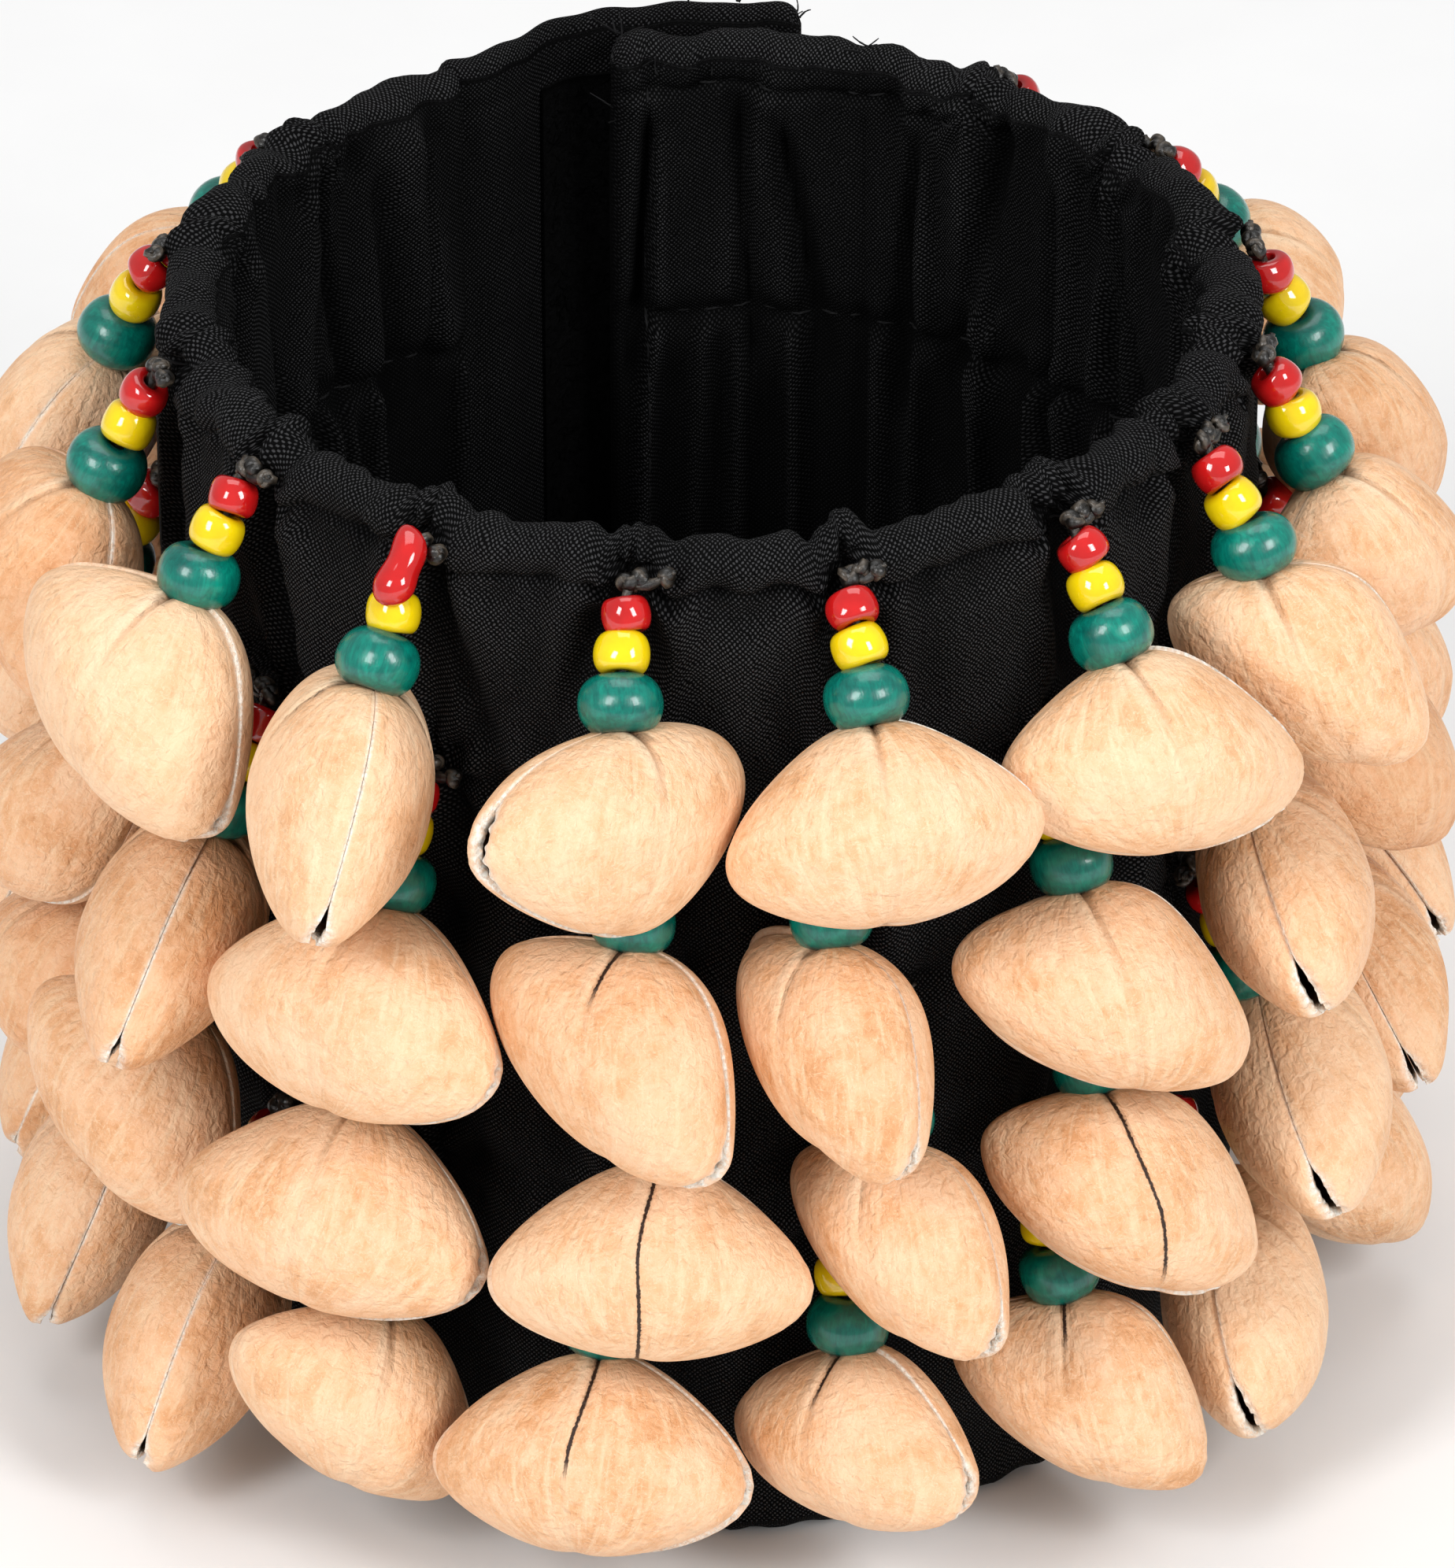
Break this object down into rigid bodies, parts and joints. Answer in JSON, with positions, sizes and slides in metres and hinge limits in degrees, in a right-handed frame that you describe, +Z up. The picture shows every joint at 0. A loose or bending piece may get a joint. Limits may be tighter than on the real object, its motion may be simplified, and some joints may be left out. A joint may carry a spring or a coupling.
{
  "type": "nutshell rattle cuff",
  "caption": "Gathered fabric cuff with a hook-and-loop flap, hung all round with rows of beaded, hollow nutshell rattles on short cords.",
  "frame": {"origin": "on the cuff's axis, in the plane of its bottom rim, which it stands on", "axes": "+Z up along the cuff's axis, where the limb goes through; -Y is the front, and the closure is at the back, +Y"},
  "size_m": [0.1251, 0.1221, 0.094],
  "materials": {
    "nutshell": "smooth, dull, mottled tan nutshell",
    "black_fabric": "plain woven black cotton, gathered",
    "elastic": "flat woven elastic tape",
    "hook_loop": "black hook-and-loop strip",
    "red_bead": "opaque red glass, glossy",
    "yellow_bead": "opaque yellow glass, glossy",
    "green_bead": "teal green lacquered wood",
    "cord": "waxed black cord"
  },
  "bodies": {
    "cuff": {"cuff_cover": "black_fabric", "hook_strip": "hook_loop", "elastic_bottom": "elastic", "elastic_lower": "elastic", "elastic_upper": "elastic", "elastic_top": "elastic"},
    "flap": {"closure_flap": "black_fabric", "loop_strip": "hook_loop"},
    "dangle_r1_c01": {"dangle_r1_c01": "nutshell"},
    "dangle_r2_c01": {"dangle_r2_c01": "nutshell"},
    "dangle_r3_c01": {"dangle_r3_c01": "nutshell"},
    "dangle_r4_c01": {"dangle_r4_c01": "nutshell"},
    "dangle_r1_c02": {"dangle_r1_c02": "nutshell"},
    "dangle_r2_c02": {"dangle_r2_c02": "nutshell"},
    "dangle_r3_c02": {"dangle_r3_c02": "nutshell"},
    "dangle_r4_c02": {"dangle_r4_c02": "nutshell"},
    "dangle_r1_c03": {"dangle_r1_c03": "nutshell"},
    "dangle_r2_c03": {"dangle_r2_c03": "nutshell"},
    "dangle_r3_c03": {"dangle_r3_c03": "nutshell"},
    "dangle_r4_c03": {"dangle_r4_c03": "nutshell"},
    "dangle_r1_c04": {"dangle_r1_c04": "nutshell"},
    "dangle_r2_c04": {"dangle_r2_c04": "nutshell"},
    "dangle_r3_c04": {"dangle_r3_c04": "nutshell"},
    "dangle_r4_c04": {"dangle_r4_c04": "nutshell"},
    "dangle_r1_c05": {"dangle_r1_c05": "nutshell"},
    "dangle_r2_c05": {"dangle_r2_c05": "nutshell"},
    "dangle_r3_c05": {"dangle_r3_c05": "nutshell"},
    "dangle_r4_c05": {"dangle_r4_c05": "nutshell"},
    "dangle_r1_c06": {"dangle_r1_c06": "nutshell"},
    "dangle_r2_c06": {"dangle_r2_c06": "nutshell"},
    "dangle_r3_c06": {"dangle_r3_c06": "nutshell"},
    "dangle_r4_c06": {"dangle_r4_c06": "nutshell"},
    "dangle_r1_c07": {"dangle_r1_c07": "nutshell"},
    "dangle_r2_c07": {"dangle_r2_c07": "nutshell"},
    "dangle_r3_c07": {"dangle_r3_c07": "nutshell"},
    "dangle_r4_c07": {"dangle_r4_c07": "nutshell"},
    "dangle_r1_c08": {"dangle_r1_c08": "nutshell"},
    "dangle_r2_c08": {"dangle_r2_c08": "nutshell"},
    "dangle_r3_c08": {"dangle_r3_c08": "nutshell"},
    "dangle_r4_c08": {"dangle_r4_c08": "nutshell"},
    "dangle_r1_c09": {"dangle_r1_c09": "nutshell"},
    "dangle_r2_c09": {"dangle_r2_c09": "nutshell"},
    "dangle_r3_c09": {"dangle_r3_c09": "nutshell"},
    "dangle_r4_c09": {"dangle_r4_c09": "nutshell"},
    "dangle_r1_c10": {"dangle_r1_c10": "nutshell"},
    "dangle_r2_c10": {"dangle_r2_c10": "nutshell"},
    "dangle_r3_c10": {"dangle_r3_c10": "nutshell"},
    "dangle_r4_c10": {"dangle_r4_c10": "nutshell"},
    "dangle_r1_c11": {"dangle_r1_c11": "nutshell"},
    "dangle_r2_c11": {"dangle_r2_c11": "nutshell"},
    "dangle_r3_c11": {"dangle_r3_c11": "nutshell"},
    "dangle_r4_c11": {"dangle_r4_c11": "nutshell"},
    "dangle_r1_c12": {"dangle_r1_c12": "nutshell"},
    "dangle_r2_c12": {"dangle_r2_c12": "nutshell"},
    "dangle_r3_c12": {"dangle_r3_c12": "nutshell"},
    "dangle_r4_c12": {"dangle_r4_c12": "nutshell"},
    "dangle_r1_c13": {"dangle_r1_c13": "nutshell"},
    "dangle_r2_c13": {"dangle_r2_c13": "nutshell"},
    "dangle_r3_c13": {"dangle_r3_c13": "nutshell"},
    "dangle_r4_c13": {"dangle_r4_c13": "nutshell"}
  },
  "joints": [
    {"name": "flap_peel", "type": "hinge", "parent": "cuff", "child": "flap", "pos_m": [-0.02183, 0.0382, 0], "axis": [0, 0, 1], "range_deg": [0, 60]},
    {"name": "swing_r1_c01", "type": "hinge", "parent": "cuff", "child": "dangle_r1_c01", "pos_m": [-0.03649, 0.02701, 0.091], "axis": [0.5948, 0.8039, 0], "range_deg": [0, 60]},
    {"name": "swing_r2_c01", "type": "hinge", "parent": "cuff", "child": "dangle_r2_c01", "pos_m": [-0.03829, 0.02439, 0.0712], "axis": [0.5373, 0.8434, 0], "range_deg": [0, 60]},
    {"name": "swing_r3_c01", "type": "hinge", "parent": "cuff", "child": "dangle_r3_c01", "pos_m": [-0.03553, 0.02826, 0.0514], "axis": [0.6225, 0.7826, 0], "range_deg": [0, 60]},
    {"name": "swing_r4_c01", "type": "hinge", "parent": "cuff", "child": "dangle_r4_c01", "pos_m": [-0.03786, 0.02506, 0.0325], "axis": [0.5519, 0.8339, 0], "range_deg": [0, 60]},
    {"name": "swing_r1_c02", "type": "hinge", "parent": "cuff", "child": "dangle_r1_c02", "pos_m": [-0.04445, 0.00924, 0.091], "axis": [0.2036, 0.979, 0], "range_deg": [0, 60]},
    {"name": "swing_r2_c02", "type": "hinge", "parent": "cuff", "child": "dangle_r2_c02", "pos_m": [-0.04487, 0.00691, 0.0712], "axis": [0.1521, 0.9884, 0], "range_deg": [0, 60]},
    {"name": "swing_r3_c02", "type": "hinge", "parent": "cuff", "child": "dangle_r3_c02", "pos_m": [-0.0441, 0.01079, 0.0514], "axis": [0.2377, 0.9713, 0], "range_deg": [0, 60]},
    {"name": "swing_r4_c02", "type": "hinge", "parent": "cuff", "child": "dangle_r4_c02", "pos_m": [-0.04487, 0.00691, 0.0325], "axis": [0.1521, 0.9884, 0], "range_deg": [0, 60]},
    {"name": "swing_r1_c03", "type": "hinge", "parent": "cuff", "child": "dangle_r1_c03", "pos_m": [-0.04405, -0.01098, 0.091], "axis": [-0.2419, 0.9703, 0], "range_deg": [0, 60]},
    {"name": "swing_r2_c03", "type": "hinge", "parent": "cuff", "child": "dangle_r2_c03", "pos_m": [-0.04342, -0.01327, 0.0712], "axis": [-0.2924, 0.9563, 0], "range_deg": [0, 60]},
    {"name": "swing_r3_c03", "type": "hinge", "parent": "cuff", "child": "dangle_r3_c03", "pos_m": [-0.04441, -0.00944, 0.0514], "axis": [-0.2079, 0.9781, 0], "range_deg": [0, 60]},
    {"name": "swing_r4_c03", "type": "hinge", "parent": "cuff", "child": "dangle_r4_c03", "pos_m": [-0.04342, -0.01327, 0.0325], "axis": [-0.2924, 0.9563, 0], "range_deg": [0, 60]},
    {"name": "swing_r1_c04", "type": "hinge", "parent": "cuff", "child": "dangle_r1_c04", "pos_m": [-0.03638, -0.02716, 0.091], "axis": [-0.5983, 0.8013, 0], "range_deg": [0, 60]},
    {"name": "swing_r2_c04", "type": "hinge", "parent": "cuff", "child": "dangle_r2_c04", "pos_m": [-0.0349, -0.02903, 0.0712], "axis": [-0.6394, 0.7688, 0], "range_deg": [0, 60]},
    {"name": "swing_r3_c04", "type": "hinge", "parent": "cuff", "child": "dangle_r3_c04", "pos_m": [-0.03775, -0.02522, 0.0514], "axis": [-0.5556, 0.8315, 0], "range_deg": [0, 60]},
    {"name": "swing_r4_c04", "type": "hinge", "parent": "cuff", "child": "dangle_r4_c04", "pos_m": [-0.0349, -0.02903, 0.0325], "axis": [-0.6394, 0.7688, 0], "range_deg": [0, 60]},
    {"name": "swing_r1_c05", "type": "hinge", "parent": "cuff", "child": "dangle_r1_c05", "pos_m": [-0.02304, -0.03912, 0.091], "axis": [-0.8616, 0.5075, 0], "range_deg": [0, 60]},
    {"name": "swing_r2_c05", "type": "hinge", "parent": "cuff", "child": "dangle_r2_c05", "pos_m": [-0.02236, -0.03951, 0.0712], "axis": [-0.8704, 0.4924, 0], "range_deg": [0, 60]},
    {"name": "swing_r3_c05", "type": "hinge", "parent": "cuff", "child": "dangle_r3_c05", "pos_m": [-0.02439, -0.03829, 0.0514], "axis": [-0.8434, 0.5373, 0], "range_deg": [0, 60]},
    {"name": "swing_r4_c05", "type": "hinge", "parent": "cuff", "child": "dangle_r4_c05", "pos_m": [-0.02372, -0.03871, 0.0325], "axis": [-0.8526, 0.5225, 0], "range_deg": [0, 60]},
    {"name": "swing_r1_c06", "type": "hinge", "parent": "cuff", "child": "dangle_r1_c06", "pos_m": [-0.00612, -0.04498, 0.091], "axis": [-0.9909, 0.1349, 0], "range_deg": [0, 60]},
    {"name": "swing_r2_c06", "type": "hinge", "parent": "cuff", "child": "dangle_r2_c06", "pos_m": [-0.00534, -0.04509, 0.0712], "axis": [-0.9931, 0.1175, 0], "range_deg": [0, 60]},
    {"name": "swing_r3_c06", "type": "hinge", "parent": "cuff", "child": "dangle_r3_c06", "pos_m": [-0.00376, -0.04524, 0.0514], "axis": [-0.9966, 0.0828, 0], "range_deg": [0, 60]},
    {"name": "swing_r4_c06", "type": "hinge", "parent": "cuff", "child": "dangle_r4_c06", "pos_m": [-0.00769, -0.04474, 0.0325], "axis": [-0.9856, 0.1693, 0], "range_deg": [0, 60]},
    {"name": "swing_r1_c07", "type": "hinge", "parent": "cuff", "child": "dangle_r1_c07", "pos_m": [0.01098, -0.04405, 0.091], "axis": [-0.9703, -0.2419, 0], "range_deg": [0, 60]},
    {"name": "swing_r2_c07", "type": "hinge", "parent": "cuff", "child": "dangle_r2_c07", "pos_m": [0.00866, -0.04457, 0.0712], "axis": [-0.9816, -0.1908, 0], "range_deg": [0, 60]},
    {"name": "swing_r3_c07", "type": "hinge", "parent": "cuff", "child": "dangle_r3_c07", "pos_m": [0.01327, -0.04342, 0.0514], "axis": [-0.9563, -0.2924, 0], "range_deg": [0, 60]},
    {"name": "swing_r4_c07", "type": "hinge", "parent": "cuff", "child": "dangle_r4_c07", "pos_m": [0.01021, -0.04424, 0.0325], "axis": [-0.9744, -0.225, 0], "range_deg": [0, 60]},
    {"name": "swing_r1_c08", "type": "hinge", "parent": "cuff", "child": "dangle_r1_c08", "pos_m": [0.02842, -0.03541, 0.091], "axis": [-0.7799, -0.6259, 0], "range_deg": [0, 60]},
    {"name": "swing_r2_c08", "type": "hinge", "parent": "cuff", "child": "dangle_r2_c08", "pos_m": [0.02588, -0.0373, 0.0712], "axis": [-0.8216, -0.57, 0], "range_deg": [0, 60]},
    {"name": "swing_r3_c08", "type": "hinge", "parent": "cuff", "child": "dangle_r3_c08", "pos_m": [0.0278, -0.0359, 0.0514], "axis": [-0.7907, -0.6122, 0], "range_deg": [0, 60]},
    {"name": "swing_r4_c08", "type": "hinge", "parent": "cuff", "child": "dangle_r4_c08", "pos_m": [0.02588, -0.0373, 0.0325], "axis": [-0.8216, -0.57, 0], "range_deg": [0, 60]},
    {"name": "swing_r1_c09", "type": "hinge", "parent": "cuff", "child": "dangle_r1_c09", "pos_m": [0.03912, -0.02304, 0.091], "axis": [-0.5075, -0.8616, 0], "range_deg": [0, 60]},
    {"name": "swing_r2_c09", "type": "hinge", "parent": "cuff", "child": "dangle_r2_c09", "pos_m": [0.03786, -0.02506, 0.0712], "axis": [-0.5519, -0.8339, 0], "range_deg": [0, 60]},
    {"name": "swing_r3_c09", "type": "hinge", "parent": "cuff", "child": "dangle_r3_c09", "pos_m": [0.03951, -0.02236, 0.0514], "axis": [-0.4924, -0.8704, 0], "range_deg": [0, 60]},
    {"name": "swing_r4_c09", "type": "hinge", "parent": "cuff", "child": "dangle_r4_c09", "pos_m": [0.03696, -0.02636, 0.0325], "axis": [-0.5807, -0.8141, 0], "range_deg": [0, 60]},
    {"name": "swing_r1_c10", "type": "hinge", "parent": "cuff", "child": "dangle_r1_c10", "pos_m": [0.04445, -0.00924, 0.091], "axis": [-0.2036, -0.979, 0], "range_deg": [0, 60]},
    {"name": "swing_r2_c10", "type": "hinge", "parent": "cuff", "child": "dangle_r2_c10", "pos_m": [0.04474, -0.00769, 0.0712], "axis": [-0.1693, -0.9856, 0], "range_deg": [0, 60]},
    {"name": "swing_r3_c10", "type": "hinge", "parent": "cuff", "child": "dangle_r3_c10", "pos_m": [0.04474, -0.00769, 0.0514], "axis": [-0.1693, -0.9856, 0], "range_deg": [0, 60]},
    {"name": "swing_r4_c10", "type": "hinge", "parent": "cuff", "child": "dangle_r4_c10", "pos_m": [0.04474, -0.00769, 0.0325], "axis": [-0.1693, -0.9856, 0], "range_deg": [0, 60]},
    {"name": "swing_r1_c11", "type": "hinge", "parent": "cuff", "child": "dangle_r1_c11", "pos_m": [0.04457, 0.00866, 0.091], "axis": [0.1908, -0.9816, 0], "range_deg": [0, 60]},
    {"name": "swing_r2_c11", "type": "hinge", "parent": "cuff", "child": "dangle_r2_c11", "pos_m": [0.04506, 0.00553, 0.0712], "axis": [0.1219, -0.9925, 0], "range_deg": [0, 60]},
    {"name": "swing_r3_c11", "type": "hinge", "parent": "cuff", "child": "dangle_r3_c11", "pos_m": [0.04424, 0.01021, 0.0514], "axis": [0.225, -0.9744, 0], "range_deg": [0, 60]},
    {"name": "swing_r4_c11", "type": "hinge", "parent": "cuff", "child": "dangle_r4_c11", "pos_m": [0.04484, 0.0071, 0.0325], "axis": [0.1564, -0.9877, 0], "range_deg": [0, 60]},
    {"name": "swing_r1_c12", "type": "hinge", "parent": "cuff", "child": "dangle_r1_c12", "pos_m": [0.03775, 0.02522, 0.091], "axis": [0.5556, -0.8315, 0], "range_deg": [0, 60]},
    {"name": "swing_r2_c12", "type": "hinge", "parent": "cuff", "child": "dangle_r2_c12", "pos_m": [0.03902, 0.02321, 0.0712], "axis": [0.5113, -0.8594, 0], "range_deg": [0, 60]},
    {"name": "swing_r3_c12", "type": "hinge", "parent": "cuff", "child": "dangle_r3_c12", "pos_m": [0.03685, 0.02652, 0.0514], "axis": [0.5842, -0.8116, 0], "range_deg": [0, 60]},
    {"name": "swing_r4_c12", "type": "hinge", "parent": "cuff", "child": "dangle_r4_c12", "pos_m": [0.03861, 0.02389, 0.0325], "axis": [0.5262, -0.8504, 0], "range_deg": [0, 60]},
    {"name": "swing_r1_c13", "type": "hinge", "parent": "cuff", "child": "dangle_r1_c13", "pos_m": [0.02506, 0.03786, 0.091], "axis": [0.8339, -0.5519, 0], "range_deg": [0, 60]},
    {"name": "swing_r2_c13", "type": "hinge", "parent": "cuff", "child": "dangle_r2_c13", "pos_m": [0.02701, 0.03649, 0.0712], "axis": [0.8039, -0.5948, 0], "range_deg": [0, 60]},
    {"name": "swing_r3_c13", "type": "hinge", "parent": "cuff", "child": "dangle_r3_c13", "pos_m": [0.02372, 0.03871, 0.0514], "axis": [0.8526, -0.5225, 0], "range_deg": [0, 60]},
    {"name": "swing_r4_c13", "type": "hinge", "parent": "cuff", "child": "dangle_r4_c13", "pos_m": [0.02701, 0.03649, 0.0325], "axis": [0.8039, -0.5948, 0], "range_deg": [0, 60]}
  ],
  "couplings": [
    {"joint": "swing_r1_c01", "follows": "swing_r4_c01", "ratio": 1},
    {"joint": "swing_r2_c01", "follows": "swing_r4_c01", "ratio": 1},
    {"joint": "swing_r3_c01", "follows": "swing_r4_c01", "ratio": 1},
    {"joint": "swing_r1_c02", "follows": "swing_r4_c02", "ratio": 1},
    {"joint": "swing_r2_c02", "follows": "swing_r4_c02", "ratio": 1},
    {"joint": "swing_r3_c02", "follows": "swing_r4_c02", "ratio": 1},
    {"joint": "swing_r1_c03", "follows": "swing_r4_c03", "ratio": 1},
    {"joint": "swing_r2_c03", "follows": "swing_r4_c03", "ratio": 1},
    {"joint": "swing_r3_c03", "follows": "swing_r4_c03", "ratio": 1},
    {"joint": "swing_r1_c04", "follows": "swing_r4_c04", "ratio": 1},
    {"joint": "swing_r2_c04", "follows": "swing_r4_c04", "ratio": 1},
    {"joint": "swing_r3_c04", "follows": "swing_r4_c04", "ratio": 1},
    {"joint": "swing_r1_c05", "follows": "swing_r4_c05", "ratio": 1},
    {"joint": "swing_r2_c05", "follows": "swing_r4_c05", "ratio": 1},
    {"joint": "swing_r3_c05", "follows": "swing_r4_c05", "ratio": 1},
    {"joint": "swing_r1_c06", "follows": "swing_r4_c06", "ratio": 1},
    {"joint": "swing_r2_c06", "follows": "swing_r4_c06", "ratio": 1},
    {"joint": "swing_r3_c06", "follows": "swing_r4_c06", "ratio": 1},
    {"joint": "swing_r1_c07", "follows": "swing_r4_c07", "ratio": 1},
    {"joint": "swing_r2_c07", "follows": "swing_r4_c07", "ratio": 1},
    {"joint": "swing_r3_c07", "follows": "swing_r4_c07", "ratio": 1},
    {"joint": "swing_r1_c08", "follows": "swing_r4_c08", "ratio": 1},
    {"joint": "swing_r2_c08", "follows": "swing_r4_c08", "ratio": 1},
    {"joint": "swing_r3_c08", "follows": "swing_r4_c08", "ratio": 1},
    {"joint": "swing_r1_c09", "follows": "swing_r4_c09", "ratio": 1},
    {"joint": "swing_r2_c09", "follows": "swing_r4_c09", "ratio": 1},
    {"joint": "swing_r3_c09", "follows": "swing_r4_c09", "ratio": 1},
    {"joint": "swing_r1_c10", "follows": "swing_r4_c10", "ratio": 1},
    {"joint": "swing_r2_c10", "follows": "swing_r4_c10", "ratio": 1},
    {"joint": "swing_r3_c10", "follows": "swing_r4_c10", "ratio": 1},
    {"joint": "swing_r1_c11", "follows": "swing_r4_c11", "ratio": 1},
    {"joint": "swing_r2_c11", "follows": "swing_r4_c11", "ratio": 1},
    {"joint": "swing_r3_c11", "follows": "swing_r4_c11", "ratio": 1},
    {"joint": "swing_r1_c12", "follows": "swing_r4_c12", "ratio": 1},
    {"joint": "swing_r2_c12", "follows": "swing_r4_c12", "ratio": 1},
    {"joint": "swing_r3_c12", "follows": "swing_r4_c12", "ratio": 1},
    {"joint": "swing_r1_c13", "follows": "swing_r4_c13", "ratio": 1},
    {"joint": "swing_r2_c13", "follows": "swing_r4_c13", "ratio": 1},
    {"joint": "swing_r3_c13", "follows": "swing_r4_c13", "ratio": 1}
  ]
}
